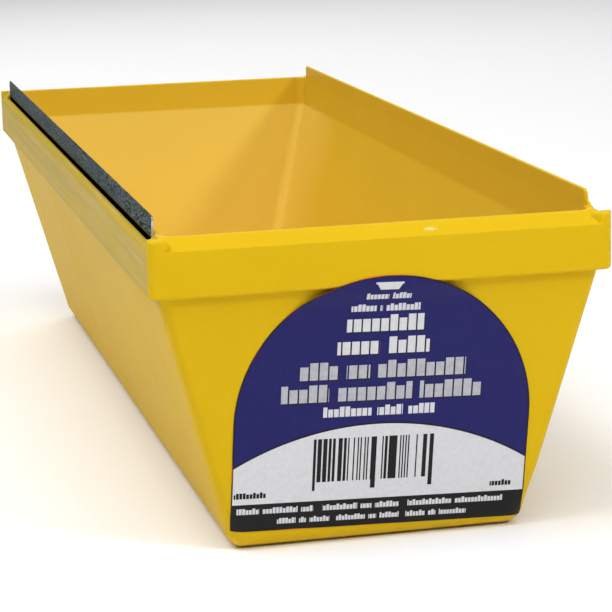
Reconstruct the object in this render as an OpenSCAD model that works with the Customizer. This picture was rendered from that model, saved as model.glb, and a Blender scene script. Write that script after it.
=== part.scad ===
// Drywall mud tray with one steel scraping blade.
// +Z is up and the floor of the tray stands on Z = 0. The tray's long way is along Y, with the labelled
// end towards -Y. The blade is on the -X side and the moulded scraping lip on the +X side.

/* [Tray] */
// Outside length over the rim
rim_len = 322; // [300:1:340]
// Outside width over the rim
rim_w = 119; // [110:1:130]
// Height of the rim's top above the base
rim_h = 84; // [78:1:90]
// Outside length of the floor
floor_len = 300; // [285:1:306]
// Outside width of the floor
floor_w = 77.2; // [70:1:84]
// Thickness of the walls, measured level
wall_t = 2.4; // [2:0.1:3]
// Thickness of the floor
floor_t = 2.6; // [2:0.1:4]
// Plan radius of the corners between the walls, at the rim
corner_r = 3; // [2.5:0.5:5]
// Plan radius of the corners between the walls, at the floor
foot_corner_r = 4.5; // [3:0.5:6]
// Radius where the walls turn into the floor
foot_r = 6; // [4:0.5:6]

/* [Rim] */
// Height of the overhanging band
band_h = 15; // [12:0.5:18]
// How far the band stands out from the walls
band_out = 2.4; // [1.5:0.1:3]
// Width and height of the chamfer on the band's top outer edge
bevel = 3.2; // [2:0.1:3.5]
// Plan radius of the band's corners
band_r = 2; // [1:0.5:3]
// Thickness of the solid end rims at the top
end_rim_t = 4.5; // [4:0.1:6]
// Depth of the upright inner face below the rim's top
inner_face_h = 10; // [8:0.5:12]

/* [Scraping lip] */
// Height of the lip's top above the rim
lip_h = 4.6; // [3:0.1:6]
// Thickness of the lip
lip_t = 1.5; // [1:0.1:2]
// Length of the lip
lip_len = 304; // [290:1:308]
// Radius of the fillet at the lip's outer foot
lip_fillet = 2; // [1:0.1:2.5]

/* [Corner blocks] */
// Width of each block along the end rim
block_w = 5.4; // [4:0.1:7]
// Depth of each block from the end face
block_d = 2.6; // [2:0.1:3]
// How far each block's top lies below the rim's top
block_drop = 0.4; // [0.2:0.1:1]

/* [Blade] */
// Length of the steel strip, 12 inches
blade_len = 304.8; // [295:0.1:306]
// Height of the steel strip, half an inch
blade_h = 12.7; // [10:0.1:14]
// Thickness of the steel strip
blade_t = 0.5; // [0.4:0.05:0.8]
// How far the blade stands above the rim's top
blade_stand = 4.4; // [3:0.1:6]
// Radius of the blade's two upper corners
blade_corner = 1.2; // [0.5:0.1:2]

/* [Label] */
// Radius of the label's arched top, which is half its width
label_r = 38.9; // [34:0.1:40]
// Height of the arch's centre above the base
label_z = 32.6; // [30:0.1:36]
// Distance of the arch's centre to the right of the middle
label_x = 0.5; // [-2:0.1:2]
// Height of the straight-sided part below the arch's centre
label_foot = 28.4; // [24:0.1:28.5]
// Angle at which the label is stuck on
label_tilt = 2; // [0:0.5:3]
// Thickness of the label
label_t = 0.25; // [0.15:0.05:0.3]
// How far the label laps up over the band
label_lap = 2; // [1:0.1:3]
// Height over which the label bridges from the wall out to the band
label_bridge = 6.5; // [5:0.5:9]

/* [Hidden] */
$fn = 48;
hull_fn = 32;
// Smallest corner radius in a rounded foot, and the angle between its levels
min_disc_r = 0.5;
foot_step = 15;
eps = 0.01;
// Cutters reach this far past the solid that they cut
over = 1;
// The walls end under the band and are carried on upwards inside it
band_z = rim_h - band_h;
wall_top_len = rim_len - 2 * band_out;
wall_top_w = rim_w - 2 * band_out;
// Level where the upright inner face meets the sloping inner wall
crease_z = rim_h - inner_face_h;
// Half widths and lengths of the walls' outside at a height z
slope_x = (wall_top_w - floor_w) / 2 / band_z;
slope_y = (wall_top_len - floor_len) / 2 / band_z;
function wall_x(z) = floor_w / 2 + slope_x * z;
function wall_y(z) = floor_len / 2 + slope_y * z;
// How far a rounded foot of radius r is drawn in for a wall of this slope to touch it
function draw_in(r, slope) = r * (sqrt(1 + slope * slope) - 1);
// The inside's corners and foot are rounded more tightly than the outside's
inside_foot_r = foot_r - 1.5;
inside_corner_r = foot_corner_r - 0.5;
inner_x = rim_w / 2 - bevel - lip_t;
inner_y = rim_len / 2 - end_rim_t;
lip_out_x = inner_x + lip_t;
lip_z = rim_h + lip_h;
// Angle between the lip's outer face and the slope of the chamfer
lip_turn = 45;
// The slot has a wide mouth in the chamfer and a narrow kerf that grips the blade
mouth_edge = 1.5;
mouth_out_x = rim_w / 2 - mouth_edge;
mouth_depth = 2.6;
slot_len = blade_len + 1;
kerf_play = 0.05;
// Gap between the blade and the rim behind it
blade_gap = 0.15;
blade_x = -(lip_out_x + blade_gap + blade_t);
blade_z = rim_h + blade_stand - blade_h;
// The label's sheet ends over the highest point of its outline
label_spare = 2;
label_leave_z = band_z - label_bridge;
label_high_z = band_z + label_lap + label_spare;
// The label goes round the corners at its foot no further than this
label_wrap = 14;

// Upright plate with rounded corners, centred on the axis
module round_plate(w, l, h, r) {
    for (x = [-1, 1], y = [-1, 1])
        translate([x * (w / 2 - r), y * (l / 2 - r), 0]) cylinder(r = r, h = h);
    translate([-w / 2 + r, -l / 2, 0]) cube([w - 2 * r, l, h]);
    translate([-w / 2, -l / 2 + r, 0]) cube([w, l - 2 * r, h]);
}

// Thin disc of radius r that touches the lines at x and y from inside, at the height z
module corner_disc(x, y, z, r) {
    translate([sign(x) * (abs(x) - r), sign(y) * (abs(y) - r), z]) cylinder(r = r, h = eps, $fn = hull_fn);
}

// Plan radius of a corner of radius r, drawn in by a foot of radius edge_r at the angle a of its arc
function foot_disc_r(r, edge_r, a) = max(r - edge_r * (1 - sin(a)), min_disc_r);

// Hopper shape: a rounded foot of half sizes fx, fy at foot_z and a top of half sizes tx, ty at top_z
module hopper(fx, fy, foot_z, tx, ty, top_z, low_r, edge_r) {
    hull() {
        for (x = [-1, 1], y = [-1, 1]) {
            for (a = [0 : foot_step : 90])
                corner_disc(x * (fx - edge_r * (1 - sin(a))), y * (fy - edge_r * (1 - sin(a))),
                    foot_z + edge_r * (1 - cos(a)), foot_disc_r(low_r, edge_r, a));
            corner_disc(x * tx, y * ty, top_z - eps, corner_r);
        }
    }
}

// Outline of the band across one way, w wide, with both top edges chamfered
module band_outline(w) {
    polygon([[-w / 2, band_z], [w / 2, band_z], [w / 2, rim_h - bevel], [w / 2 - bevel, rim_h],
        [-w / 2 + bevel, rim_h], [-w / 2, rim_h - bevel]]);
}

// The band as a solid block, chamfered along all four top edges
module band_block() {
    intersection() {
        translate([0, 0, band_z]) round_plate(rim_w, rim_len, band_h, band_r);
        rotate([90, 0, 0]) linear_extrude(rim_len + 2 * over, center = true) band_outline(rim_w);
        rotate([90, 0, 90]) linear_extrude(rim_w + 2 * over, center = true) band_outline(rim_len);
    }
}

// Block with a rounded inner end that fills the chamfer at the +X, +Y corner
module corner_block() {
    block_r = (bevel - block_drop) / 2;
    intersection() {
        union() {
            translate([rim_w / 2 - block_w + block_r, rim_len / 2 - block_d, rim_h - bevel])
                cube([block_w - block_r, block_d, 2 * block_r]);
            translate([rim_w / 2 - block_w + block_r, rim_len / 2, rim_h - bevel + block_r])
                rotate([90, 0, 0]) cylinder(r = block_r, h = block_d);
        }
        translate([0, 0, band_z]) round_plate(rim_w, rim_len, band_h, band_r);
    }
}

// Moulded lip on the +X side, with a fillet from its outer face into the slope of the chamfer
module lip() {
    rise = lip_fillet * tan(lip_turn / 2);
    rotate([90, 0, 0])
        linear_extrude(lip_len, center = true)
            polygon(concat(
                [[lip_out_x, rim_h - over], [inner_x, rim_h - over], [inner_x, lip_z], [lip_out_x, lip_z]],
                [for (a = [0 : lip_turn / 6 : lip_turn])
                    [lip_out_x + lip_fillet * (1 - cos(a)), rim_h + rise - lip_fillet * sin(a)]]));
}

// Space inside the tray: a hopper below the crease and an upright-sided well above it
module inside() {
    foot_x = wall_x(floor_t + inside_foot_r) - wall_t;
    foot_y = wall_y(floor_t + inside_foot_r) - wall_t;
    hopper(foot_x, foot_y, floor_t, inner_x, inner_y, crease_z, inside_corner_r, inside_foot_r);
    translate([0, 0, crease_z - eps]) round_plate(2 * inner_x, 2 * inner_y, rim_h, corner_r);
}

// Outside of the walls and the floor, carried on a little way into the band, and grown by a skin
module walls(skin = 0) {
    foot_x = wall_x(foot_r) - draw_in(foot_r, slope_x) + skin;
    foot_y = wall_y(foot_r) - draw_in(foot_r, slope_y) + skin;
    top_z = band_z + over;
    hopper(foot_x, foot_y, -skin, wall_x(top_z) + skin, wall_y(top_z) + skin, top_z, foot_corner_r, foot_r);
}

// Slot for the blade: a mouth along the chamfer and a kerf below it
module blade_slot() {
    translate([-mouth_out_x, -slot_len / 2, rim_h - mouth_depth])
        cube([mouth_out_x - lip_out_x, slot_len, mouth_depth + lip_h]);
    translate([blade_x - kerf_play, -slot_len / 2, blade_z])
        cube([blade_t + 2 * kerf_play, slot_len, blade_h]);
}

module tray_body() {
    color("gold")
    difference() {
        union() {
            walls();
            band_block();
            for (x = [0, 1], y = [0, 1]) mirror([x, 0, 0]) mirror([0, y, 0]) corner_block();
        }
        inside();
        blade_slot();
    }
    color("gold") lip();
}

module scraper_blade() {
    color("slategray")
    translate([blade_x, 0, blade_z])
        rotate([90, 0, 90])
            linear_extrude(blade_t)
                union() {
                    translate([-blade_len / 2, 0]) square([blade_len, blade_h - blade_corner]);
                    translate([-blade_len / 2 + blade_corner, 0])
                        square([blade_len - 2 * blade_corner, blade_h]);
                    for (y = [-1, 1])
                        translate([y * (blade_len / 2 - blade_corner), blade_h - blade_corner])
                            circle(r = blade_corner);
                }
}

// Side view of the label where it bridges from the wall out to the band and goes up its face
module label_bridge_sheet() {
    band_y = -rim_len / 2;
    leave_y = -wall_y(label_leave_z);
    rotate([90, 0, 90])
        linear_extrude(2 * (label_r + label_spare), center = true)
            polygon([[leave_y, label_leave_z], [band_y, band_z], [band_y, label_high_z],
                [band_y - label_t, label_high_z], [band_y - label_t, band_z],
                [leave_y - label_t, label_leave_z]]);
}

// The label below the bridge, wrapped a little way round the corners at its foot
module label_wall_sheet() {
    difference() {
        walls(label_t);
        walls();
        translate([-rim_w / 2, -rim_len / 2, label_leave_z]) cube([rim_w, rim_len, rim_h]);
    }
}

// Outline of the label, with the arch's centre at the origin
module label_outline() {
    translate([-label_r, -label_foot]) square([2 * label_r, label_foot]);
    intersection() {
        circle(r = label_r, $fn = 96);
        translate([-label_r, 0]) square([2 * label_r, label_r]);
    }
}

module label() {
    color("midnightblue")
    intersection() {
        union() {
            label_wall_sheet();
            label_bridge_sheet();
        }
        translate([label_x, label_wrap - floor_len / 2, label_z])
            rotate([0, label_tilt, 0])
                rotate([90, 0, 0])
                    linear_extrude(rim_len) label_outline();
    }
}

tray_body();
scraper_blade();
label();
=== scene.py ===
import math
from collections import namedtuple

import bmesh
import bpy
from mathutils import Matrix, Vector


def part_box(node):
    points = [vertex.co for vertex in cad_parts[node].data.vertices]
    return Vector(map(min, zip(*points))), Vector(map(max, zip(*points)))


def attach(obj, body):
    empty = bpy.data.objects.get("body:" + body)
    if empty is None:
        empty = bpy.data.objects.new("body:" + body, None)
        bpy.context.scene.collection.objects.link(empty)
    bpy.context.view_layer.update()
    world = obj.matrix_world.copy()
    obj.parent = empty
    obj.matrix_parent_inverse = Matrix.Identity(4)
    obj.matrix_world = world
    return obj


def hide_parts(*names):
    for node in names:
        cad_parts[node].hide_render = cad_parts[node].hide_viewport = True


# A drywall mud tray: a moulded yellow tray with a steel scraping blade in its left rim, a moulded lip
# on its right rim and a printed label on its near end. Shapes are in millimetres until a mesh is made,
# and the camera and the lamps are in metres.
# +Z is up, +Y runs along the tray away from the label, and +X is towards the lip.

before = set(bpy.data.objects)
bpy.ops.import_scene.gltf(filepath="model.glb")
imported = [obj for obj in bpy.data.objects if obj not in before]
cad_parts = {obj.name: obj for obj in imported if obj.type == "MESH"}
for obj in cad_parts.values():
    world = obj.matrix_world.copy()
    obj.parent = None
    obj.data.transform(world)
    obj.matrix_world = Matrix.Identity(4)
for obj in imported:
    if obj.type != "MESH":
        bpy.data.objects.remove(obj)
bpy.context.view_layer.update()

MM = 0.001


def box_mm(node):
    """Lowest and highest corner of a CAD node, in millimetres."""
    low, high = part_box(node)
    return low / MM, high / MM


tray_high = box_mm("tray_body")[1]
blade_low, blade_high = box_mm("scraper_blade")

# ---- Sizes of the tray ----
LIP_H = 4.6
RIM_X, RIM_Y = tray_high.x, tray_high.y
RIM_Z = tray_high.z - LIP_H
FLOOR_X, FLOOR_Y = 38.6, 150.0
FLOOR_T, WALL_T = 2.6, 2.4
FOOT_R, INSIDE_FOOT_R = 6.0, 4.5
CORNER_R, FOOT_CORNER_R, INSIDE_CORNER_R = 3.0, 4.5, 4.0
FOOT_BLEND_Z = 18.0
SMALLEST_R = 0.4
BAND_H, BAND_OUT, BAND_R, BEVEL = 15.0, 2.4, 2.0, 3.2
BAND_Z = RIM_Z - BAND_H
UNDER_FILLET, BAND_EDGE_R, BEVEL_EDGE_R, TOP_EDGE_R = 0.5, 0.8, 0.6, 0.35
SIDE_RIM_T, END_RIM_T = 4.7, 4.5
CREASE_Z, CREASE_R = RIM_Z - 10.0, 0.8
SIDE_DRAFT = 0.35
SLOPE_X = (RIM_X - BAND_OUT - FLOOR_X) / BAND_Z
SLOPE_Y = (RIM_Y - BAND_OUT - FLOOR_Y) / BAND_Z

# The lip stands on the inner edge of the right rim
STATION_GAP = 0.02
LIP_HALF, LIP_FILLET, LIP_EDGE_R, LIP_END_R = 152.2, 4.0, 0.42, 1.0
LIP_TAPER, LIP_TURN_R, LIP_TURN_H = 0.55, 0.5, 0.8
# Angle between the chamfer and the lip's outer face
LIP_LEAN = 45
LIP_FOOT_Z = RIM_Z + LIP_FILLET * math.tan(math.radians(LIP_LEAN / 2))
# Distances of the stations from the lip's end, negative beyond it
LIP_END_STATIONS = (-2.4, -1.8, -1.2, -0.6, -STATION_GAP, 0.0, 0.08, 0.25, 0.55, 1.0)
# Heights above the rim of the points down the lip's inner face
LIP_INNER_LEVELS = (LIP_TURN_H, 0.5, 0.2, -0.2)
# Beyond its end the lip sweeps down to the rim over this length, from this height
LIP_SWEEP, LIP_SWEEP_H = 3.4, 2.1

# The slot has a wide mouth in the chamfer and a narrow kerf below it that grips the blade
SLOT_HALF = blade_high.y + 0.15
MOUTH_INSET, MOUTH_Z = 1.5, RIM_Z - 2.6
MOUTH_EDGE_R, MOUTH_FOOT_R, KERF_EDGE_R, SLOT_RIM_R = 0.15, 0.12, 0.08, 0.25
KERF_PLAY = 0.05
KERF_OUT = RIM_X + blade_low.x - KERF_PLAY
KERF_IN = RIM_X + blade_high.x + KERF_PLAY

# Four blocks close the chamfer at the ends of the long sides, each with its root in the band
BLOCK_W, BLOCK_D, BLOCK_DROP = 5.4, 2.8, 0.1
BLOCK_EDGE_R, BLOCK_TOP_R, BLOCK_STEPS = 0.4, 1.2, 5
BLOCK_INSET, BLOCK_ROOT = 0.01, 1.5
# A section's edge radius is at most this share of its height and of its depth
BLOCK_R_SHARE = 0.45
# The blocks on the lip's side come out of the chamfer gently, over this length
BLOCK_SET_BACK, BLOCK_EASE = 1.5, 2.6
# Places of a block's sections: round its inner end, past it, and round the band's corner
BLOCK_END_DEGREES = (4, 15, 30, 45, 60, 75, 90)
BLOCK_RUN = (0.02, 0.4, 0.8, 1.2)
BLOCK_CORNER_DEGREES = (0, 15, 30, 45, 60, 75, 90)

# Steps of the mesh
CORNER_STEPS, UNDER_STEPS, BAND_EDGE_STEPS, CREASE_STEPS = 8, 4, 5, 4
BEVEL_STEPS, TOP_EDGE_STEPS, LIP_FILLET_STEPS, LIP_EDGE_STEPS = 4, 3, 7, 3
MOUTH_EDGE_STEPS, SLOT_STEPS = 3, 2
FOOT_DEGREES = (0, 10, 20, 30, 40, 50, 60, 70, 78)
INSIDE_FOOT_DEGREES = (72, 60, 48, 36, 24, 12, 0)
WALL_HEIGHTS = (6.0, 8.0, 10.0, 12.0, 14.0, 16.0, FOOT_BLEND_Z, 34.0, 50.0, BAND_Z - 3)
INSIDE_HEIGHTS = (60.0, 45.0, 30.0, 18.0)
WELL_DEPTH_SHARES = (0, 0.5, 1)
# The rim's rings end, and the inner ones start, this far below the rim's top
WELL_DROP = 1
# Points along the chamfer, which pair up with the points of the slot's and the lip's outlines
SPREAD_START, SPREAD_STEP, SPREAD_COUNT = 1.2, 0.14, 12
SMALLEST_BAND_R = 0.3
# Below the rim the stations are squeezed from this half length to the ring's own
STATION_REACH = RIM_Y - CORNER_R - 2
LONG_STATIONS = (-120, -80, -40, 0, 40, 80, 120)
SHORT_STATIONS = (-0.6, -0.2, 0.2, 0.6)
SHARP_ANGLE = math.radians(38)


# ---- Mesh tools ----
def mesh_object(name, points, faces):
    """A new object from points in millimetres and faces of point numbers."""
    mesh = bpy.data.meshes.new(name)
    mesh.from_pydata([Vector(p) * MM for p in points], [], faces)
    obj = bpy.data.objects.new(name, mesh)
    bpy.context.scene.collection.objects.link(obj)
    return obj


def clean(obj, merge=0.002):
    """Joins points that lie on each other and turns all faces outwards."""
    work = bmesh.new()
    work.from_mesh(obj.data)
    bmesh.ops.remove_doubles(work, verts=work.verts, dist=merge * MM)
    bmesh.ops.recalc_face_normals(work, faces=work.faces)
    work.to_mesh(obj.data)
    work.free()


def shade(obj, sharp_angle=SHARP_ANGLE):
    """Smooth shading with hard edges above an angle, weighted by face size so that flats stay flat."""
    for polygon in obj.data.polygons:
        polygon.use_smooth = True
    obj.data.set_sharp_from_angle(angle=sharp_angle)
    weighted = obj.modifiers.new("weighted_normals", "WEIGHTED_NORMAL")
    weighted.keep_sharp = True


def rounded(corners):
    """Points of a line through (x, z, radius, steps) corners, each bend made an arc of that many steps."""
    points = []
    for k, (x, z, radius, steps) in enumerate(corners):
        here = Vector((x, z))
        if steps == 0 or k in (0, len(corners) - 1):
            points.append(here)
            continue
        back = (Vector(corners[k - 1][:2]) - here).normalized()
        ahead = (Vector(corners[k + 1][:2]) - here).normalized()
        half = back.angle(ahead) / 2
        centre = here + (back + ahead).normalized() * radius / math.sin(half)
        spoke = here + back * radius / math.tan(half) - centre
        side = 1 if spoke.x * back.y - spoke.y * back.x < 0 else -1
        for step in range(steps + 1):
            turn = Matrix.Rotation(side * (math.pi - 2 * half) * step / steps, 2)
            points.append(centre + turn @ spoke)
    return points


# ---- Tray body ----
# A ring is a rounded rectangle at one height: half sizes x and y and corner radius r. Where the slot or
# the lip runs along a side, slot and lip give that side's own (inset from the rim's face, z).
Ring = namedtuple("Ring", "x y r z on_rim slot lip", defaults=(False, None, None))


def foot_half(z, half, slope, radius, base):
    """Half size of a wall's outside at a height z, where the wall meets its floor in an arc."""
    lean = math.atan(slope)
    touch_z = base + radius * (1 - math.sin(lean))
    centre = half + slope * (base + radius) - radius * math.sqrt(1 + slope * slope)
    if z >= touch_z:
        return half + slope * z
    return centre + math.sqrt(max(radius ** 2 - (base + radius - z) ** 2, 0))


def smooth(t):
    """Goes from 0 to 1 as t does, level at both ends."""
    t = min(max(t, 0), 1)
    return t * t * (3 - 2 * t)


def outside(z):
    """Half sizes and corner radius of the tray's outside at a height below the band."""
    x = foot_half(z, FLOOR_X, SLOPE_X, FOOT_R, 0)
    y = foot_half(z, FLOOR_Y, SLOPE_Y, FOOT_R, 0)
    drawn_in = FOOT_R - math.sqrt(max(FOOT_R ** 2 - max(FOOT_R - z, 0) ** 2, 0))
    radius = CORNER_R + (FOOT_CORNER_R - CORNER_R) * smooth((FOOT_BLEND_Z - z) / (FOOT_BLEND_Z - FOOT_R))
    return x, y, max(radius - drawn_in, SMALLEST_R)


def outer_rings():
    """From the flat underside up to the lower edge of the chamfer."""
    rings = []
    for degrees in FOOT_DEGREES:
        z = FOOT_R * (1 - math.cos(math.radians(degrees)))
        rings.append(Ring(*outside(z), z))
    for z in WALL_HEIGHTS:
        rings.append(Ring(*outside(z), z))
    for step in range(UNDER_STEPS + 1):
        angle = math.radians(90 * step / UNDER_STEPS)
        out = UNDER_FILLET * (1 - math.cos(angle))
        z = BAND_Z - UNDER_FILLET * (1 - math.sin(angle))
        x, y, radius = outside(z)
        rings.append(Ring(x + out, y + out, radius, z, True))
    for step in range(BAND_EDGE_STEPS + 1):
        angle = math.radians(90 * step / BAND_EDGE_STEPS)
        inset = BAND_EDGE_R * (1 - math.sin(angle))
        z = BAND_Z + BAND_EDGE_R * (1 - math.cos(angle))
        rings.append(Ring(RIM_X - inset, RIM_Y - inset, BAND_R, z, True))
    return rings


def end_inset(inset):
    """Inset on the end rims of a line that has this inset on the side rims."""
    if inset <= BEVEL:
        return inset
    return BEVEL + (inset - BEVEL) * (END_RIM_T - BEVEL) / (SIDE_RIM_T - BEVEL)


def top_rings():
    """Over the chamfer and the flat top, with the slot's and the lip's own outlines alongside."""
    edge_low = (0, BAND_Z + BAND_EDGE_R, 0, 0)
    edge = (0, RIM_Z - BEVEL, BEVEL_EDGE_R, BEVEL_STEPS)
    chamfer_top = (BEVEL, RIM_Z, TOP_EDGE_R, TOP_EDGE_STEPS)
    inner_edge = (SIDE_RIM_T, RIM_Z, TOP_EDGE_R, TOP_EDGE_STEPS)
    below = (SIDE_RIM_T, RIM_Z - WELL_DROP, 0, 0)
    first = rounded([edge_low, edge, chamfer_top])[1:-1]
    insets = [SPREAD_START + SPREAD_STEP * k for k in range(SPREAD_COUNT)]
    spread = [(inset, RIM_Z - BEVEL + inset, 0, 0) for inset in insets]
    plain = rounded([edge, *spread, chamfer_top, inner_edge, below])[1:-1]
    slot = rounded([
        edge, (MOUTH_INSET, RIM_Z - BEVEL + MOUTH_INSET, MOUTH_EDGE_R, MOUTH_EDGE_STEPS),
        (MOUTH_INSET, MOUTH_Z, MOUTH_FOOT_R, SLOT_STEPS), (KERF_OUT, MOUTH_Z, KERF_EDGE_R, SLOT_STEPS),
        (KERF_OUT, blade_low.z, 0, 0), (KERF_IN, blade_low.z, 0, 0), (KERF_IN, MOUTH_Z, 0, 0),
        (BEVEL, MOUTH_Z, 0, 0), (BEVEL, RIM_Z, SLOT_RIM_R, 1), inner_edge, below])[1:-1]
    lip = rounded([
        edge, (BEVEL, RIM_Z, LIP_FILLET, LIP_FILLET_STEPS),
        (BEVEL + LIP_TAPER, RIM_Z + LIP_H, LIP_EDGE_R, LIP_EDGE_STEPS),
        (SIDE_RIM_T, RIM_Z + LIP_H, LIP_EDGE_R, LIP_EDGE_STEPS),
        *((SIDE_RIM_T, RIM_Z + level, 0, 0) for level in LIP_INNER_LEVELS), below])[1:-1]
    rings = []
    for inset, z in first:
        rings.append(Ring(RIM_X - inset, RIM_Y - inset, BAND_R - inset / 2, z, True))
    inner_from = len(plain) - (TOP_EDGE_STEPS + 1)
    for k, (inset, z) in enumerate(plain):
        radius = CORNER_R if k >= inner_from else max(BAND_R - inset, SMALLEST_BAND_R)
        rings.append(Ring(RIM_X - inset, RIM_Y - end_inset(inset), radius, z, True, slot[k], lip[k]))
    return rings


def inner_rings():
    """Down the upright inner face, over the crease and down the sloping inside to the floor."""
    well_x, well_y = RIM_X - SIDE_RIM_T, RIM_Y - END_RIM_T
    foot_z = FLOOR_T + INSIDE_FOOT_R
    low_x, low_y = FLOOR_X + SLOPE_X * foot_z - WALL_T, FLOOR_Y + SLOPE_Y * foot_z - WALL_T
    lean_x = (well_x - SIDE_DRAFT - low_x) / (CREASE_Z - foot_z)
    lean_y = (well_y - low_y) / (CREASE_Z - foot_z)
    well_top, top = RIM_Z - WELL_DROP, CREASE_Z - CREASE_R
    rings = []
    for share in WELL_DEPTH_SHARES:
        z = well_top - (well_top - CREASE_Z - CREASE_R) * share
        rings.append(Ring(well_x - SIDE_DRAFT * share, well_y, CORNER_R, z, True))
    start_x, start_y = well_x - SIDE_DRAFT, well_y
    end_x, end_y = start_x - lean_x * CREASE_R, start_y - lean_y * CREASE_R
    for step in range(1, CREASE_STEPS + 1):
        t = step / CREASE_STEPS
        ease = t * t
        x, y = start_x + (end_x - start_x) * ease, start_y + (end_y - start_y) * ease
        rings.append(Ring(x, y, CORNER_R, CREASE_Z + CREASE_R - 2 * CREASE_R * t, True))
    for z in INSIDE_HEIGHTS:
        t = (top - z) / (top - foot_z)
        radius = CORNER_R + (INSIDE_CORNER_R - CORNER_R) * t
        rings.append(Ring(end_x - lean_x * (top - z), end_y - lean_y * (top - z), radius, z))
    base_x, base_y = end_x - lean_x * top, end_y - lean_y * top
    for degrees in INSIDE_FOOT_DEGREES:
        z = FLOOR_T + INSIDE_FOOT_R * (1 - math.cos(math.radians(degrees)))
        x = foot_half(z, base_x, lean_x, INSIDE_FOOT_R, FLOOR_T)
        y = foot_half(z, base_y, lean_y, INSIDE_FOOT_R, FLOOR_T)
        drawn_in = INSIDE_FOOT_R * (1 - math.sin(math.radians(degrees)))
        rings.append(Ring(x, y, max(INSIDE_CORNER_R - drawn_in, SMALLEST_R), z))
    return rings


def side_stations():
    """Stations (y, feature, distance from its end) along the lip's side and along the slot's side."""
    lip = [(LIP_HALF + LIP_SWEEP, "plain", 0)]
    lip += [(LIP_HALF - d, "lip", d) for d in LIP_END_STATIONS]
    slot = [(SLOT_HALF + STATION_GAP, "plain", 0), (SLOT_HALF, "slot", 0)]
    both = []
    for ends, feature in ((lip, "lip"), (slot, "slot")):
        middle = [(y, feature, LIP_END_R) for y in LONG_STATIONS]
        both.append([(-y, kind, d) for y, kind, d in ends] + middle + ends[::-1])
    return both


def lip_point(inset, z, distance):
    """A point of the lip's outline, lowered and turned outwards where the lip's end is rounded."""
    dip = LIP_END_R - math.sqrt(max(LIP_END_R ** 2 - (LIP_END_R - distance) ** 2, 0))
    if inset > (BEVEL + SIDE_RIM_T) / 2:
        turn = LIP_TURN_R - math.sqrt(max(LIP_TURN_R ** 2 - max(LIP_TURN_R - distance, 0) ** 2, 0))
        inset -= turn * smooth((z - RIM_Z) / LIP_TURN_H)
    if z > LIP_FOOT_Z:
        above = LIP_H - LIP_FOOT_Z + RIM_Z
        z = LIP_FOOT_Z + (z - LIP_FOOT_Z) * (above - dip) / above
    return inset, z


def side_point(ring, side, station):
    """Where a side's station lies on a ring."""
    y, kind, distance = station
    if not ring.on_rim:
        y *= (ring.y - ring.r) / STATION_REACH
    if kind == "lip" and ring.lip and distance < 0:
        share = (1 + distance / LIP_SWEEP) ** 2
        inset, z = lip_point(*ring.lip, 0)
        z = min(z, RIM_Z) + max(z - RIM_Z, 0) * LIP_SWEEP_H / (LIP_H - LIP_END_R)
        plain_inset = RIM_X - ring.x
        return side * (RIM_X - plain_inset - (inset - plain_inset) * share), y, ring.z + (z - ring.z) * share
    if kind == "lip" and ring.lip:
        inset, z = lip_point(*ring.lip, distance)
        return side * (RIM_X - inset), y, z
    if kind == "slot" and ring.slot:
        inset, z = ring.slot
        return side * (RIM_X - inset), y, z
    return side * ring.x, y, ring.z


def ring_points(ring, lip_stations, slot_stations):
    """The ring's points, once round from the lip's side, counterclockwise seen from above."""
    points = []

    def corner(side_x, side_y, start):
        for step in range(CORNER_STEPS + 1):
            angle = math.radians(start + 90 * step / CORNER_STEPS)
            points.append((side_x * (ring.x - ring.r) + ring.r * math.cos(angle),
                           side_y * (ring.y - ring.r) + ring.r * math.sin(angle), ring.z))

    points += [side_point(ring, 1, s) for s in lip_stations]
    corner(1, 1, 0)
    points += [(-share * ring.x, ring.y, ring.z) for share in SHORT_STATIONS]
    corner(-1, 1, 90)
    points += [side_point(ring, -1, s) for s in reversed(slot_stations)]
    corner(-1, -1, 180)
    points += [(share * ring.x, -ring.y, ring.z) for share in SHORT_STATIONS]
    corner(1, -1, 270)
    return points


def tray_shell():
    """The tray as one closed skin lofted through all its rings."""
    rings = outer_rings() + top_rings() + inner_rings()
    stations = side_stations()
    rows = [ring_points(ring, *stations) for ring in rings]
    count = len(rows[0])
    faces = [tuple(reversed(range(count)))]
    for r in range(len(rows) - 1):
        for c in range(count):
            d = (c + 1) % count
            faces.append((r * count + c, r * count + d, (r + 1) * count + d, (r + 1) * count + c))
    faces.append(tuple(range((len(rows) - 1) * count, len(rows) * count)))
    return mesh_object("tray", [p for row in rows for p in row], faces)


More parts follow.
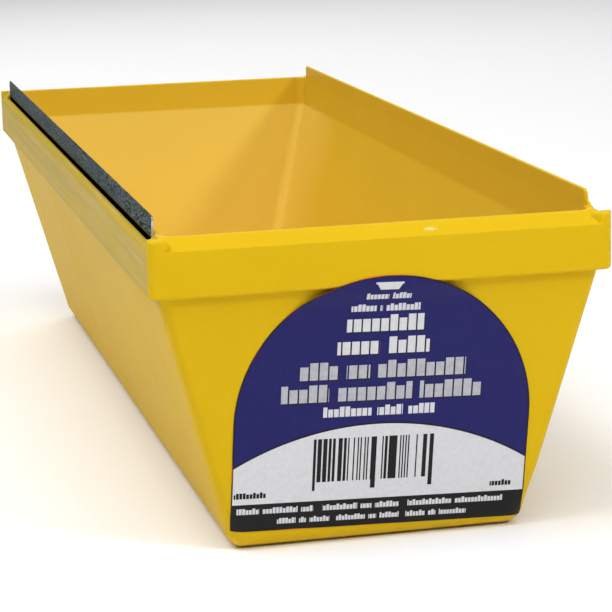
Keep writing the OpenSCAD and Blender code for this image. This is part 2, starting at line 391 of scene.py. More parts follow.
def corner_block(side_x, side_y):
    """Block with a round inner end that fills the chamfer at one end of a long side."""
    half_h = (BEVEL - BLOCK_DROP) / 2
    middle_z = RIM_Z - BEVEL + half_h
    low, high = middle_z - half_h, middle_z + half_h
    round_x, corner_x = RIM_X - BLOCK_W + half_h, RIM_X - BAND_R
    front_y, back_y = RIM_Y - BLOCK_INSET, RIM_Y - BLOCK_D
    sections = []

    def eased(x):
        """Where the block's end face lies at x."""
        past = (x - round_x + half_h) / BLOCK_EASE
        return front_y - (BLOCK_SET_BACK * (1 - smooth(past)) if side_x > 0 else 0)

    for degrees in BLOCK_END_DEGREES:
        angle = math.radians(degrees)
        x, tall = round_x - half_h * math.cos(angle), half_h * math.sin(angle)
        sections.append((x, middle_z - tall, middle_z + tall, eased(x)))
    for past in BLOCK_RUN:
        sections.append((round_x + past, low - BLOCK_ROOT, high, eased(round_x + past)))
    for degrees in BLOCK_CORNER_DEGREES:
        angle = math.radians(degrees)
        sections.append((corner_x - BLOCK_INSET + BAND_R * math.sin(angle), low - BLOCK_ROOT, high,
                         front_y - BAND_R * (1 - math.cos(angle))))
    points, faces = [], []
    for x, low_z, high_z, front in sections:
        most = BLOCK_R_SHARE * min(high_z - low_z, front - back_y)
        edge, top_edge = min(BLOCK_EDGE_R, most), min(BLOCK_TOP_R, most)
        for corner_y, corner_z, start, r in ((front, high_z, 0, top_edge), (back_y, high_z, 90, edge),
                                             (back_y, low_z, 180, edge), (front, low_z, 270, edge)):
            inner_y = corner_y + (r if corner_y == back_y else -r)
            inner_z = corner_z + (r if corner_z == low_z else -r)
            for step in range(BLOCK_STEPS + 1):
                angle = math.radians(start + 90 * step / BLOCK_STEPS)
                y, z = inner_y + r * math.cos(angle), inner_z + r * math.sin(angle)
                points.append((side_x * x, side_y * y, z))
    per = 4 * (BLOCK_STEPS + 1)
    for s in range(len(sections) - 1):
        for k in range(per):
            n = (k + 1) % per
            faces.append((s * per + k, s * per + n, (s + 1) * per + n, (s + 1) * per + k))
    faces.append(tuple(range(per)))
    faces.append(tuple(reversed(range((len(sections) - 1) * per, len(sections) * per))))
    block = mesh_object("block", points, faces)
    clean(block)
    return block


def join_solids(base, others):
    """Fuses other solids into base, and removes them."""
    for other in others:
        union = base.modifiers.new("union", "BOOLEAN")
        union.operation = "UNION"
        union.solver = "EXACT"
        union.object = other
    graph = bpy.context.evaluated_depsgraph_get()
    fused = bpy.data.meshes.new_from_object(base.evaluated_get(graph))
    base.modifiers.clear()
    base.data = fused
    for other in others:
        bpy.data.objects.remove(other)


def make_tray():
    """The tray's skin with its four corner blocks fused to it."""
    tray = tray_shell()
    clean(tray)
    blocks = [corner_block(x, y) for x in (-1, 1) for y in (-1, 1)]
    join_solids(tray, blocks)
    clean(tray)
    shade(tray)
    return tray


# ---- Blade ----
BLADE_CORNER_R, BLADE_CORNER_STEPS, BLADE_EDGE = 1.2, 6, 0.06
BLADE_EDGE_ANGLE = math.radians(50)


def make_blade():
    """The steel strip, with its two upper corners rounded and its edges just broken."""
    half = blade_high.y
    top, bottom = blade_high.z, blade_low.z
    outline = rounded([
        (0, bottom, 0, 0), (half, bottom, 0, 0), (half, top, BLADE_CORNER_R, BLADE_CORNER_STEPS),
        (-half, top, BLADE_CORNER_R, BLADE_CORNER_STEPS), (-half, bottom, 0, 0)])[1:]
    count = len(outline)
    points = [(x, y, z) for x in (blade_low.x, blade_high.x) for y, z in outline]
    faces = [tuple(range(count)), tuple(range(2 * count - 1, count - 1, -1))]
    faces += [(k, k + count, (k + 1) % count + count, (k + 1) % count) for k in range(count)]
    blade = mesh_object("blade", points, faces)
    clean(blade)
    bevel = blade.modifiers.new("edges", "BEVEL")
    bevel.width = BLADE_EDGE * MM
    bevel.segments = 2
    bevel.limit_method = "ANGLE"
    bevel.angle_limit = BLADE_EDGE_ANGLE
    shade(blade)
    return blade


# ---- Label ----
LABEL_R, LABEL_FOOT, LABEL_TILT = 38.9, 28.4, math.radians(2)
LABEL_X, LABEL_Z = 0.5, 32.6
LABEL_GAP, LABEL_T = 0.03, 0.18
LABEL_LEAVE_Z = 62.5
LABEL_BAND_Z = BAND_Z + BAND_EDGE_R
LABEL_COLUMNS, LABEL_FOOT_STEPS, LABEL_ARCH_STEPS = 48, 22, 33
# Millimetres of the label's print over the width of its UV map
UV_SCALE = 100.0


def end_surface(across, z, lift):
    """The point of the near end that lies at a distance across from the middle, lifted off the surface."""
    x, y, radius = outside(min(z, BAND_Z - UNDER_FILLET))
    if z > LABEL_LEAVE_Z:
        leave_y = FLOOR_Y + SLOPE_Y * LABEL_LEAVE_Z
        span = LABEL_BAND_Z - LABEL_LEAVE_Z
        t = min((z - LABEL_LEAVE_Z) / span, 1)
        rise = RIM_Y - leave_y
        y = leave_y + rise * (3 * t * t - 2 * t ** 3) + SLOPE_Y * span * (t - 2 * t * t + t ** 3)
        return Vector((across, -(y + lift), z))
    flat = x - radius
    if abs(across) <= flat:
        return Vector((across, -(y + lift), z))
    angle = (abs(across) - flat) / radius
    side = math.copysign(1, across)
    return Vector((side * (flat + (radius + lift) * math.sin(angle)),
                   -(y - radius + (radius + lift) * math.cos(angle)), z))


def label_rows():
    """Rows (height, half width) of the label, from its foot to the top of its arch."""
    rows = [(-LABEL_FOOT + LABEL_FOOT * k / LABEL_FOOT_STEPS, LABEL_R) for k in range(LABEL_FOOT_STEPS)]
    for k in range(LABEL_ARCH_STEPS):
        angle = math.radians(90 * k / LABEL_ARCH_STEPS)
        rows.append((LABEL_R * math.sin(angle), LABEL_R * math.cos(angle)))
    return rows


def make_label():
    """The label as a thin sheet that follows the end wall, its corners and the step up to the band."""
    tilt = Matrix.Rotation(-LABEL_TILT, 2)
    rows = label_rows()
    sheets, prints = ([], []), []
    for v, half in rows:
        for c in range(LABEL_COLUMNS + 1):
            u = half * (2 * c / LABEL_COLUMNS - 1)
            across, up = tilt @ Vector((u, v))
            for sheet, lift in zip(sheets, (LABEL_GAP + LABEL_T, LABEL_GAP)):
                sheet.append(end_surface(across + LABEL_X, up + LABEL_Z, lift))
            prints.append((u, v))
    per = LABEL_COLUMNS + 1
    size = len(sheets[0])
    faces = []
    for r in range(len(rows) - 1):
        for c in range(LABEL_COLUMNS):
            a = r * per + c
            faces.append((a, a + 1, a + per + 1, a + per))
            faces.append((size + a, size + a + per, size + a + per + 1, size + a + 1))
    rim = list(range(per)) + [r * per + LABEL_COLUMNS for r in range(1, len(rows))]
    rim += [(len(rows) - 1) * per + c for c in reversed(range(LABEL_COLUMNS))]
    rim += [r * per for r in reversed(range(1, len(rows) - 1))]
    for a, b in zip(rim, rim[1:] + rim[:1]):
        faces.append((b, a, size + a, size + b))
    label = mesh_object("label_sheet", sheets[0] + sheets[1], faces)
    layer = label.data.uv_layers.new(name="print")
    for loop in label.data.loops:
        u, v = prints[loop.vertex_index % size]
        layer.data[loop.index].uv = (u / UV_SCALE + 0.5, v / UV_SCALE + 0.5)
    clean(label, 0.001)
    shade(label)
    return label


# ---- Materials ----
class Shader:
    """A node material being built: each call adds a node, and gives its first output."""

    def __init__(self, name):
        self.material = bpy.data.materials.new(name)
        self.material.use_nodes = True
        self.tree = self.material.node_tree
        self.surface = self.tree.nodes["Principled BSDF"]

    def add(self, kind, output=0, settings=(), **inputs):
        """A new node, with its settings and with its inputs by name or as i0, i1 and so on."""
        node = self.tree.nodes.new("ShaderNode" + kind)
        for key, value in dict(settings).items():
            setattr(node, key, value)
        for key, value in inputs.items():
            self.put(node, key, value)
        return node.outputs[output]

    def put(self, node, key, value):
        """Links a node's input to another node's output, or gives it a value."""
        name = int(key[1:]) if key[0] == "i" and key[1:].isdigit() else key.replace("_", " ")
        socket = node.inputs[name]
        if isinstance(value, bpy.types.NodeSocket):
            self.tree.links.new(value, socket)
        else:
            socket.default_value = value

    def math(self, operation, a, b=0.0, c=0.0):
        return self.add("Math", settings={"operation": operation}, i0=a, i1=b, i2=c)

    def both(self, a, b):
        return self.math("MULTIPLY", a, b)

    def axes(self, vector):
        """The x, y and z of a vector."""
        node = self.tree.nodes.new("ShaderNodeSeparateXYZ")
        self.tree.links.new(vector, node.inputs[0])
        return node.outputs[:3]

    def noise(self, vector, scale, detail=3.0, roughness=0.5):
        return self.add("TexNoise", Vector=vector, Scale=scale, Detail=detail, Roughness=roughness)

    def ramp(self, value, low, high, to_low=0.0, to_high=1.0):
        return self.add("MapRange", Value=value, From_Min=low, From_Max=high, To_Min=to_low, To_Max=to_high)

    def mix(self, factor, a, b):
        return self.add("Mix", 2, {"data_type": "RGBA"}, i0=factor, i6=a, i7=b)

    def stretched(self, vector, scale):
        return self.add("Mapping", Vector=vector, Scale=scale)

    def streaks(self, vector, stretch, detail, roughness=0.5):
        """Noise with its own scale along each axis."""
        return self.noise(self.stretched(vector, stretch), 1.0, detail, roughness)

    def finish(self, **inputs):
        for key, value in inputs.items():
            self.put(self.surface, key, value)
        return self.material


def srgb(r, g, b):
    """A linear colour from 0 to 255 sRGB values."""
    def linear(v):
        v /= 255
        return v / 12.92 if v <= 0.04045 else ((v + 0.055) / 1.055) ** 2.4
    return (linear(r), linear(g), linear(b), 1.0)


# The stretch of a noise's values that a ramp spreads from 0 to 1
MIDDLE_NOISE, MOST_NOISE = (0.35, 0.65), (0.3, 0.7)

# ---- Plastic: noise scales per metre, strengths from 0 to 1, bump depths in metres ----
PLASTIC_DEEP, PLASTIC_BRIGHT = (0.655, 0.412, 0.0025, 1), (0.675, 0.43, 0.004, 1)
PLASTIC_SPECK, PLASTIC_SCUFF = (0.69, 0.455, 0.012, 1), (0.72, 0.52, 0.09, 1)
# Painted shade, then painted whitish reflection streaks, for the left band's outer face.
PLASTIC_PAINTED_SHADE, PLASTIC_PAINTED_REFLECTION = (0.455, 0.33, 0.045, 1), (0.66, 0.50, 0.28, 1)
# The first colour below is a painted whitish sheen inside the tray, standing in for a glossy reflection; the
# second is a pale nick.
PLASTIC_PAINTED_SHEEN, PLASTIC_NICK = (0.80, 0.57, 0.10, 1), (0.78, 0.60, 0.22, 1)
PLASTIC_SPECULAR, PLASTIC_ROUGHNESS, SCUFF_ROUGHNESS = 0.08, (0.46, 0.54), 0.1
PATCH_SCALE, SPECK_SCALE, WEAR_SCALE, GLOSS_SCALE, GRAIN_SCALE = 18.0, 900.0, 25.0, 60.0, 1600.0
# Besides the scuffs and wear, these stretches, ranges and strengths shape the patches of painted shade and
# the painted reflection streaks on the left band.
SCUFF_STRETCH, SHADE_PATCH_STRETCH, REFLECTION_STREAK_STRETCH = (260.0, 14.0, 60.0), (400.0, 9.0, 400.0), (700.0, 16.0, 900.0)
FLOW_STRETCH, FLOW_SCALE = (12.0, 3.0, 12.0), 3.0
SCUFF_RANGE, WEAR_RANGE, SHADE_PATCH_RANGE, REFLECTION_STREAK_RANGE = (0.66, 0.76), (0.5, 0.62), (0.4, 0.6), (0.58, 0.7)
SPECK_STRENGTH, SCUFF_STRENGTH, REFLECTION_STREAK_STRENGTH, SHADE_PATCH_STRENGTH = 0.25, 0.25, 0.35, (0.65, 1.0)
GRAIN_STRENGTH, GRAIN_DEPTH, FLOW_STRENGTH, FLOW_DEPTH = 0.12, 0.0001, 0.25, 0.001
# In mm: half width of a soft edge, and how far from its ends the painted shade and painted reflection streaks
# on the left band start and are full
SOFT_EDGE, PAINTED_BAND_START, PAINTED_BAND_FULL = 0.3, 1.0, 3.0
# Painted whitish sheen inside, standing in for a glossy reflection: soft edge in mm, strength, and its extra
# far along, from y to y in metres
SHEEN_EDGE, SHEEN_STRENGTH, SHEEN_FAR_EXTRA, SHEEN_FAR_RANGE = 0.2, 0.27, 0.68, (0.1, 0.15)
# A small nick in the near end's chamfer, with a ragged edge, in metres but for its place
NICK_PLACE, NICK_SQUEEZE = (12.0, -RIM_Y + 1.4, RIM_Z - 1.8), (0.35, 1, 1)
NICK_EDGE, NICK_CORE, NICK_RAGGED = 0.0009, 0.0004, 0.0004


def plastic():
    """Yellow moulded plastic: uneven colour and gloss, grain, flow lines, scuffs, a nick, painted sheen
    inside, and painted shade with painted reflection streaks on the left band.
    """
    s = Shader("tray_plastic")
    place = s.add("TexCoord", 3)
    across, along, height = s.axes(place)
    wide, long = s.math("ABSOLUTE", across), s.math("ABSOLUTE", along)
    patches = s.ramp(s.noise(place, PATCH_SCALE, 4.0), *MIDDLE_NOISE)
    speckle = s.ramp(s.noise(place, SPECK_SCALE, 2.0), *MOST_NOISE)
    colour = s.mix(patches, PLASTIC_DEEP, PLASTIC_BRIGHT)
    colour = s.mix(s.both(speckle, SPECK_STRENGTH), colour, PLASTIC_SPECK)
    scuff = s.ramp(s.streaks(place, SCUFF_STRETCH, 6.0, 0.6), *SCUFF_RANGE)
    scuff = s.both(scuff, s.ramp(s.noise(place, WEAR_SCALE, 2.0), *WEAR_RANGE))
    colour = s.mix(s.both(scuff, SCUFF_STRENGTH), colour, PLASTIC_SCUFF)

    # Painted whitish sheen inside the tray, stronger on the far end wall below the crease, standing in for a
    # glossy reflection.
    wall_x = s.math("MULTIPLY_ADD", height, -SLOPE_X, wide)
    wall_y = s.math("MULTIPLY_ADD", height, -SLOPE_Y, long)
    inside = s.math("GREATER_THAN", height, FLOOR_T / 2 * MM)
    for out, limit in ((wall_x, FLOOR_X - WALL_T / 2), (wall_y, FLOOR_Y - WALL_T / 2),
                       (wide, RIM_X - SIDE_RIM_T + SHEEN_EDGE), (long, RIM_Y - END_RIM_T + SHEEN_EDGE)):
        inside = s.both(inside, s.ramp(out, limit * MM, (limit - SHEEN_EDGE) * MM))
    below_crease = s.ramp(height, (CREASE_Z + SOFT_EDGE) * MM, (CREASE_Z - SOFT_EDGE) * MM)
    far_wall_sheen = s.both(s.ramp(along, *SHEEN_FAR_RANGE), below_crease)
    painted_sheen_here = s.both(inside, s.math("MULTIPLY_ADD", far_wall_sheen, SHEEN_FAR_EXTRA, SHEEN_STRENGTH))
    colour = s.mix(painted_sheen_here, colour, PLASTIC_PAINTED_SHEEN)

    # Painted shade on the left band's outer face, in patches, with painted whitish reflection streaks over
    # it, standing in for its dimmer light and glossy reflections.
    painted_band_mask = s.ramp(across, (-RIM_X + BEVEL + SOFT_EDGE) * MM, (-RIM_X + BEVEL - SOFT_EDGE) * MM)
    painted_band_mask = s.both(painted_band_mask, s.ramp(long, (RIM_Y - PAINTED_BAND_START) * MM, (RIM_Y - PAINTED_BAND_FULL) * MM))
    shade_patches = s.ramp(s.streaks(place, SHADE_PATCH_STRETCH, 3.0, 0.6), *SHADE_PATCH_RANGE, *SHADE_PATCH_STRENGTH)
    colour = s.mix(s.both(painted_band_mask, shade_patches), colour, PLASTIC_PAINTED_SHADE)
    reflection_streak = s.ramp(s.streaks(place, REFLECTION_STREAK_STRETCH, 3.0, 0.6), *REFLECTION_STREAK_RANGE)
    colour = s.mix(s.both(painted_band_mask, s.both(reflection_streak, REFLECTION_STREAK_STRENGTH)), colour, PLASTIC_PAINTED_REFLECTION)

    nick_centre = tuple(v * k * MM for v, k in zip(NICK_PLACE, NICK_SQUEEZE))
    squeezed = s.stretched(place, NICK_SQUEEZE)
    from_nick = s.add("VectorMath", 1, {"operation": "DISTANCE"}, i0=squeezed, i1=nick_centre)
    ragged = s.math("ADD", from_nick, s.both(speckle, NICK_RAGGED))
    colour = s.mix(s.ramp(ragged, NICK_EDGE, NICK_CORE), colour, PLASTIC_NICK)

    rough = s.ramp(s.noise(place, GLOSS_SCALE, 5.0), *MOST_NOISE, *PLASTIC_ROUGHNESS)
    rough = s.math("MULTIPLY_ADD", scuff, SCUFF_ROUGHNESS, rough)
    grain = s.noise(place, GRAIN_SCALE, 3.0, 0.6)
    flow = s.noise(s.stretched(place, FLOW_STRETCH), FLOW_SCALE, 2.0)
    fine = s.add("Bump", Strength=GRAIN_STRENGTH, Distance=GRAIN_DEPTH, Height=grain)
    bump = s.add("Bump", Strength=FLOW_STRENGTH, Distance=FLOW_DEPTH, Height=flow, Normal=fine)
    return s.finish(Base_Color=colour, Roughness=rough, Normal=bump, Specular_IOR_Level=PLASTIC_SPECULAR)


# ---- Steel: noise scales per metre, bump depths in metres ----
STEEL_DARK, STEEL_LIGHT, STEEL_STAIN = (0.04, 0.085, 0.08, 1), (0.44, 0.47, 0.45, 1), (0.21, 0.23, 0.29, 1)
# The second colour below is black painted shade of the deep slot, with oil grime, on the blade's low part.
STEEL_PALE_LINE, STEEL_GRIME_AND_SHADE, STEEL_CUT = (0.30, 0.26, 0.08, 1), (0.001, 0.001, 0.001, 1), (0.75, 0.74, 0.72, 1)
STEEL_EDGE_TINT = (0.16, 0.18, 0.19, 1)
MOTTLE_STRETCH, CLOUD_STRETCH = (1700.0, 420.0, 1700.0), (60.0, 24.0, 160.0)
BRUSH_STRETCH = (3000.0, 60.0, 3000.0)
MOTTLE_RANGE, STAIN_STRENGTH = (0.38, 0.62), 0.45
# The second roughness makes the blade's painted shade with oil grime matt.
STEEL_ROUGHNESS, GRIME_AND_SHADE_ROUGHNESS = (0.3, 0.42), 0.95
MOTTLE_STRENGTH, MOTTLE_DEPTH = 0.25, 0.00004
# Heights in mm between which the painted shade with oil grime and the paler line above it fade out, and the
# wavy edge of that shade and grime
GRIME_AND_SHADE_LINE, PALE_LINE = (83.0, 83.15), (83.3, 83.6)
GRIME_AND_SHADE_WAVE_SCALE, GRIME_AND_SHADE_WAVE = 300.0, 0.0002
# The cut ends reach this far in from the blade's ends
CUT_DEPTH = 0.08


def steel():
    """Dark blued strip: mottled, faintly brushed, black painted shade with oil grime at its slot, a paler
    yellowish line above that, and bright cut ends.
    """
    s = Shader("blade_steel")
    place = s.add("TexCoord", 3)
    _, along, height = s.axes(place)
    mottle = s.ramp(s.streaks(place, MOTTLE_STRETCH, 1.0, 0.6), *MOTTLE_RANGE)
    cloudy = s.ramp(s.streaks(place, CLOUD_STRETCH, 4.0), *MIDDLE_NOISE)
    brushed = s.streaks(place, BRUSH_STRETCH, 3.0)
    colour = s.mix(mottle, STEEL_DARK, STEEL_LIGHT)
    colour = s.mix(s.both(cloudy, STAIN_STRENGTH), colour, STEEL_STAIN)
    # A paler yellowish line just above the black band.
    colour = s.mix(s.ramp(height, *(z * MM for z in PALE_LINE)), STEEL_PALE_LINE, colour)
    # Painted shade of the deep slot, with oil grime: black on the blade's low part, with a wavy edge.
    wavy = s.math("MULTIPLY_ADD", s.noise(place, GRIME_AND_SHADE_WAVE_SCALE, 2.0), GRIME_AND_SHADE_WAVE, height)
    above_grime_and_shade = s.ramp(wavy, *(z * MM for z in GRIME_AND_SHADE_LINE))
    colour = s.mix(above_grime_and_shade, STEEL_GRIME_AND_SHADE, colour)
    cut = s.math("GREATER_THAN", s.math("ABSOLUTE", along), (blade_high.y - CUT_DEPTH) * MM)
    colour = s.mix(s.both(cut, above_grime_and_shade), colour, STEEL_CUT)
    rough = s.ramp(brushed, *MOST_NOISE, *STEEL_ROUGHNESS)
    rough = s.math("MAXIMUM", rough, s.ramp(above_grime_and_shade, 0.0, 1.0, GRIME_AND_SHADE_ROUGHNESS, 0.0))
    bump = s.add("Bump", Strength=MOTTLE_STRENGTH, Distance=MOTTLE_DEPTH, Height=mottle)
    return s.finish(Base_Color=colour, Metallic=1.0, Roughness=rough, Normal=bump,
                    Specular_Tint=STEEL_EDGE_TINT)


# ---- Label film ----
# The print is generic: plain blocks where words would be, random bars and a simple outline of a tray.
# Places are in millimetres from the middle of the label's arch, u to the right and v up.
# Each row of words is (height of its middle, half height of its blocks, left and right end of each word).
TITLE_ROWS = (
    (33.4, 0.85, ((-6.4, -0.6), (0.4, 5.2))),
    (30.2, 0.95, ((-9.9, -3.4), (-2.4, -1.8), (-0.8, 8.0))),
    (26.1, 2.15, ((-10.8, 9.2),)),
    (20.2, 2.2, ((-13.0, -2.0), (0.4, 11.0))),
    (13.9, 2.3, ((-22.6, -12.3), (-10.3, -4.2), (-2.2, 20.9))),
    (8.0, 2.3, ((-27.0, -14.6), (-12.6, 7.1), (9.1, 25.5))),
    (2.9, 1.35, ((-15.9, -3.3), (-1.8, 4.9), (6.4, 13.3))))
FOOT_ROWS = (
    (-22.9, 0.8, ((-37.4, -31.5), (-30.6, -21.5), (-20.6, -17.4), (-15.0, -5.8), (-4.9, -2.0), (-1.1, 5.2),
                  (7.6, 19.4), (20.3, 33.2))),
    (-25.9, 0.75, ((-26.8, -21.9), (-21.0, -19.2), (-18.3, -13.0), (-11.2, -3.6), (-2.7, -0.6), (0.3, 5.4),
                   (7.2, 12.4), (13.3, 15.3), (16.2, 23.5))))
PANEL_ROWS = ((-18.6, 0.8, ((-38.3, -30.0),)), (-18.7, 0.8, ((29.5, 35.3),)))
SHADOW_SHIFT = 0.35
PANEL_R, PANEL_U, PANEL_V = 75.0, -0.5, -75.6
PANEL_LINE, LABEL_LINE, FRINGE = 0.22, 0.32, 0.14
FOOT_BAND_V = -21.0
CODE_LEFT, CODE_RIGHT, CODE_TOP, CODE_FOOT, CODE_GUARD_FOOT = -18.0, 14.2, -4.2, -15.9, -18.2
CODE_MODULE = 0.36
# The guard bars' widths: in modules at the left and the right end, half width in mm in the middle
GUARD_LEFT, GUARD_RIGHT, GUARD_MIDDLE_HALF = 3, 5, 0.8
# A word's blocks: pitch over half height, share of a cell that is gap, cut of the low ones, and share of them
CELL_PITCH, CELL_GAP, CELL_CUT, CELL_LOW_SHARE = 1.1, 0.17, 0.45, 0.55
TRAY_MARK_U, TRAY_MARK_V, TRAY_MARK_HALF_H, TRAY_MARK_HALF_W = -0.8, 36.0, 0.8, 3.6
TRAY_MARK_TAPER, TRAY_MARK_RIM_OUT, TRAY_MARK_RIM_LOW, TRAY_MARK_RIM_HIGH = 0.6, 0.3, 0.1, 0.4
INK_BLUE, INK_BLUE_LIGHT, INK_SHADOW = (12, 9, 84), (17, 13, 96), (16, 12, 30)
INK_WHITE, INK_WHITE_LIGHT = (204, 204, 208), (212, 212, 215)
INK_GREY, INK_GREY_LIGHT = (168, 168, 176), (184, 184, 190)
INK_BLACK, INK_FRINGE = (5, 5, 5), (214, 70, 24)
LABEL_SPECULAR, LABEL_ROUGHNESS = 0.25, (0.34, 0.42)
INK_SCALE, FRINGE_SCALE, SHEEN_SCALE, WRINKLE_SCALE, FIBRE_SCALE = 900.0, 60.0, 80.0, 30.0, 700.0
# The fringe of misplaced ink shows in patches on the left: noise limits, and u where it fades in
FRINGE_RANGE, FRINGE_FADE = (0.42, 0.55), (8.0, -6.0)
FIBRE_STRENGTH, FIBRE_DEPTH, WRINKLE_STRENGTH, WRINKLE_DEPTH = 0.06, 0.0001, 0.1, 0.0005


class Print(Shader):
    """A shader with the label's coordinates u and v, and masks that are 1 inside a printed shape."""

    def __init__(self, name):
        super().__init__(name)
        layer = self.add("UVMap", settings={"uv_map": "print"})
        self.u, self.v = (self.both(self.math("SUBTRACT", axis, 0.5), UV_SCALE)
                          for axis in self.axes(layer)[:2])

    def within(self, value, low, high):
        """1 where a value lies between two limits."""
        return self.math("COMPARE", value, (low + high) / 2, (high - low) / 2)

    def any(self, masks):
        """1 where any of the masks is."""
        found = masks[0]
        for mask in masks[1:]:
            found = self.math("MAXIMUM", found, mask)
        return found

    def rows(self, rows, shift=0.0):
        """Rows of words, each a run of narrow blocks of two heights."""
        masks = []
        for middle, half, words in rows:
            cell = self.math("DIVIDE", self.math("SUBTRACT", self.u, shift), half * CELL_PITCH)
            gap = self.math("GREATER_THAN", self.math("FRACT", cell), CELL_GAP)
            pick = self.add("TexWhiteNoise", 0, {"noise_dimensions": "1D"}, W=self.math("FLOOR", cell))
            low, high = middle - half - shift, middle + half - shift
            short = self.within(self.v, low, high - CELL_CUT * half)
            tall = self.both(self.math("GREATER_THAN", pick, CELL_LOW_SHARE), self.within(self.v, low, high))
            run = self.any([self.within(self.u, left + shift, right + shift) for left, right in words])
            masks.append(self.both(self.both(gap, run), self.any([short, tall])))
        return self.any(masks)

    def reach(self, u, v):
        """Distance from the origin of u and v."""
        return self.math("SQRT", self.math("MULTIPLY_ADD", u, u, self.both(v, v)))


def bar_code(s):
    """Bars of random widths, with longer guard bars at both ends and in the middle."""
    module = s.math("FLOOR", s.math("DIVIDE", s.u, CODE_MODULE))
    dark = s.math("GREATER_THAN", s.add("TexWhiteNoise", 0, {"noise_dimensions": "1D"}, W=module), 0.5)
    middle = (CODE_LEFT + CODE_RIGHT) / 2
    guards = s.any([s.within(s.u, CODE_LEFT, CODE_LEFT + GUARD_LEFT * CODE_MODULE),
                    s.within(s.u, middle - GUARD_MIDDLE_HALF, middle + GUARD_MIDDLE_HALF),
                    s.within(s.u, CODE_RIGHT - GUARD_RIGHT * CODE_MODULE, CODE_RIGHT)])
    tall = s.both(guards, s.within(s.v, CODE_GUARD_FOOT, CODE_TOP))
    area = s.both(s.within(s.u, CODE_LEFT, CODE_RIGHT), s.within(s.v, CODE_FOOT, CODE_TOP))
    return s.both(dark, s.any([tall, area]))


def tray_mark(s):
    """A plain tapered tray seen from the side, with a rim along its top."""
    rim_v = TRAY_MARK_V + TRAY_MARK_HALF_H
    half_w = TRAY_MARK_HALF_W - TRAY_MARK_TAPER * rim_v - TRAY_MARK_RIM_OUT
    taper = s.math("MULTIPLY_ADD", s.v, TRAY_MARK_TAPER, half_w)
    inside = s.math("LESS_THAN", s.math("ABSOLUTE", s.math("SUBTRACT", s.u, TRAY_MARK_U)), taper)
    body = s.both(inside, s.within(s.v, TRAY_MARK_V - TRAY_MARK_HALF_H, rim_v))
    rim = s.both(s.within(s.v, rim_v - TRAY_MARK_RIM_LOW, rim_v + TRAY_MARK_RIM_HIGH),
                 s.within(s.u, TRAY_MARK_U - TRAY_MARK_HALF_W, TRAY_MARK_U + TRAY_MARK_HALF_W))
    return s.any([body, rim])


def film():
    """Semi-gloss printed film: a blue arch over a white panel, with a black foot band and outline."""
    s = Print("label_film")
    place = s.add("TexCoord", 3)
    ink = s.ramp(s.noise(place, INK_SCALE, 2.0), *MOST_NOISE)
    blue = s.mix(ink, srgb(*INK_BLUE), srgb(*INK_BLUE_LIGHT))
    white = s.mix(ink, srgb(*INK_WHITE), srgb(*INK_WHITE_LIGHT))
    grey = s.mix(ink, srgb(*INK_GREY), srgb(*INK_GREY_LIGHT))
    black = srgb(*INK_BLACK)
    colour = s.mix(s.rows(TITLE_ROWS[2:6], SHADOW_SHIFT), blue, srgb(*INK_SHADOW))
    title = s.any([s.rows(TITLE_ROWS), tray_mark(s)])
    colour = s.mix(title, colour, white)
    colour = s.mix(s.rows(TITLE_ROWS[4:6]), colour, grey)
    from_centre = s.reach(s.math("SUBTRACT", s.u, PANEL_U), s.math("SUBTRACT", s.v, PANEL_V))
    colour = s.mix(s.math("LESS_THAN", from_centre, PANEL_R), colour, white)
    dark = s.any([bar_code(s), s.rows(PANEL_ROWS), s.math("COMPARE", from_centre, PANEL_R, PANEL_LINE)])
    foot = s.math("LESS_THAN", s.v, FOOT_BAND_V)
    colour = s.mix(s.any([dark, foot]), colour, black)
    colour = s.mix(s.rows(FOOT_ROWS), colour, white)
    over_arch = s.math("SUBTRACT", LABEL_R, s.reach(s.u, s.math("MAXIMUM", s.v, 0.0)))
    to_edge = s.math("MINIMUM", over_arch, s.math("ADD", s.v, LABEL_FOOT))
    colour = s.mix(s.math("LESS_THAN", to_edge, LABEL_LINE), colour, black)
    patchy = s.ramp(s.noise(place, FRINGE_SCALE, 2.0), *FRINGE_RANGE)
    fringe = s.both(s.math("LESS_THAN", to_edge, FRINGE), patchy)
    fringe = s.both(fringe, s.ramp(s.u, *FRINGE_FADE))
    colour = s.mix(fringe, colour, srgb(*INK_FRINGE))
    rough = s.ramp(s.noise(place, SHEEN_SCALE, 3.0), *MOST_NOISE, *LABEL_ROUGHNESS)
    wrinkle = s.noise(place, WRINKLE_SCALE, 2.0)
    fibre = s.noise(place, FIBRE_SCALE, 2.0)
    fine = s.add("Bump", Strength=FIBRE_STRENGTH, Distance=FIBRE_DEPTH, Height=fibre)
    bump = s.add("Bump", Strength=WRINKLE_STRENGTH, Distance=WRINKLE_DEPTH, Height=wrinkle, Normal=fine)
    return s.finish(Base_Color=colour, Roughness=rough, Normal=bump, Specular_IOR_Level=LABEL_SPECULAR)


def pale_floor():
    """Matt, nearly white floor."""
    s = Shader("pale_floor")
    place = s.add("TexCoord", 3)
    colour = s.mix(s.noise(place, FLOOR_NOISE_SCALE), FLOOR_DARK, FLOOR_LIGHT)
    return s.finish(Base_Color=colour, Roughness=FLOOR_ROUGHNESS)


# ---- Studio ----
CAMERA_PLACE = Vector((-0.15034, -0.71327, 0.18731))
CAMERA_AZIMUTH, CAMERA_ELEVATION, CAMERA_ROLL = -13.218, 12.146, -1.289
CAMERA_LENS, SENSOR, CLIP_START = 138.69, 36.0, 0.01
FLOOR_REACH, FLOOR_DROP = 3.0, 0.05
FLOOR_DARK, FLOOR_LIGHT = (0.92, 0.92, 0.92, 1), (0.95, 0.95, 0.95, 1)
FLOOR_NOISE_SCALE, FLOOR_ROUGHNESS = 4.0, 0.8


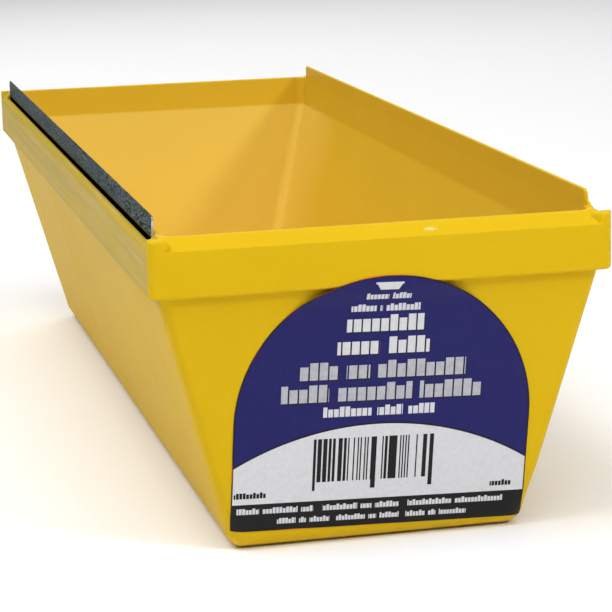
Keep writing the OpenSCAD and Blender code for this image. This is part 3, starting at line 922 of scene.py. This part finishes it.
def make_camera():
    """The camera low in front of the labelled end, a little to the blade's side."""
    a, e, roll = (math.radians(v) for v in (CAMERA_AZIMUTH, CAMERA_ELEVATION, CAMERA_ROLL))
    back = Vector((math.sin(a) * math.cos(e), -math.cos(a) * math.cos(e), math.sin(e)))
    level = Vector((math.cos(a), math.sin(a), 0))
    upright = back.cross(level)
    right = math.cos(roll) * level + math.sin(roll) * upright
    up = back.cross(right)
    data = bpy.data.cameras.new("camera")
    data.lens = CAMERA_LENS
    data.sensor_width = SENSOR
    data.clip_start = CLIP_START
    camera = bpy.data.objects.new("camera", data)
    bpy.context.scene.collection.objects.link(camera)
    camera.matrix_world = Matrix((right, up, back)).transposed().to_4x4()
    camera.location = CAMERA_PLACE
    bpy.context.scene.camera = camera


# Lamps: name, azimuth, elevation, distance in metres, size, watts
LAMPS = (
    ("key", 36.0, 34.0, 1.3, (0.18, 0.18), 4.6),
    ("front_top", 5.0, 62.0, 1.5, (1.2, 0.8), 7.4),
    ("front_soft", -10.0, 38.0, 1.5, (1.2, 0.8), 2.9),
    ("left_top", -75.0, 60.0, 1.5, (1.0, 1.0), 14.3),
    ("back_top", 180.0, 45.0, 1.6, (1.4, 1.0), 8.5),
)
LAMP_AIM = Vector((0, 0, 0.06))
WORLD_STRENGTH = 0.14
# A lamp that looks straight down on the floor behind the tray
BACKDROP_LAMP, BACKDROP_AIM, BACKDROP_SIZE, BACKDROP_WATTS = (0.3, 1.4, 0.9), (0.3, 1.4, 0.0), (1.6, 1.0), 3.2


def area_light(name, place, aim, size, watts):
    """A white rectangular lamp at a place, aimed at another."""
    data = bpy.data.lights.new(name, "AREA")
    data.shape = "RECTANGLE"
    data.size, data.size_y = size
    data.energy = watts
    light = bpy.data.objects.new(name, data)
    bpy.context.scene.collection.objects.link(light)
    light.location = place
    light.rotation_euler = (Vector(aim) - Vector(place)).to_track_quat("-Z", "Y").to_euler()


def make_studio():
    """A wide pale floor, a dim even surround and the lamps."""
    half = FLOOR_REACH / MM
    corners = [(x * half, y * half, -FLOOR_DROP) for x, y in ((-1, -1), (1, -1), (1, 1), (-1, 1))]
    floor = mesh_object("floor", corners, [(0, 1, 2, 3)])
    floor.data.materials.append(pale_floor())
    world = bpy.data.worlds.new("studio")
    world.use_nodes = True
    background = world.node_tree.nodes["Background"]
    background.inputs["Color"].default_value = (1, 1, 1, 1)
    background.inputs["Strength"].default_value = WORLD_STRENGTH
    bpy.context.scene.world = world
    bpy.context.scene.view_settings.view_transform = "Standard"
    for name, azimuth, elevation, distance, size, watts in LAMPS:
        a, e = math.radians(azimuth), math.radians(elevation)
        away = Vector((math.sin(a) * math.cos(e), -math.cos(a) * math.cos(e), math.sin(e)))
        area_light(name, LAMP_AIM + away * distance, LAMP_AIM, size, watts)
    area_light("backdrop", BACKDROP_LAMP, BACKDROP_AIM, BACKDROP_SIZE, BACKDROP_WATTS)


def main():
    """The camera, the studio and the three pieces with their materials."""
    make_camera()
    make_studio()
    for piece, node, slot, material in (
            (make_tray(), "tray_body", "tray_plastic", plastic()),
            (make_blade(), "scraper_blade", "blade_steel", steel()),
            (make_label(), "label", "label_film", film())):
        piece.data.materials.clear()
        piece.data.materials.append(material)
        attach(piece, "root")
        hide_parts(node)


main()
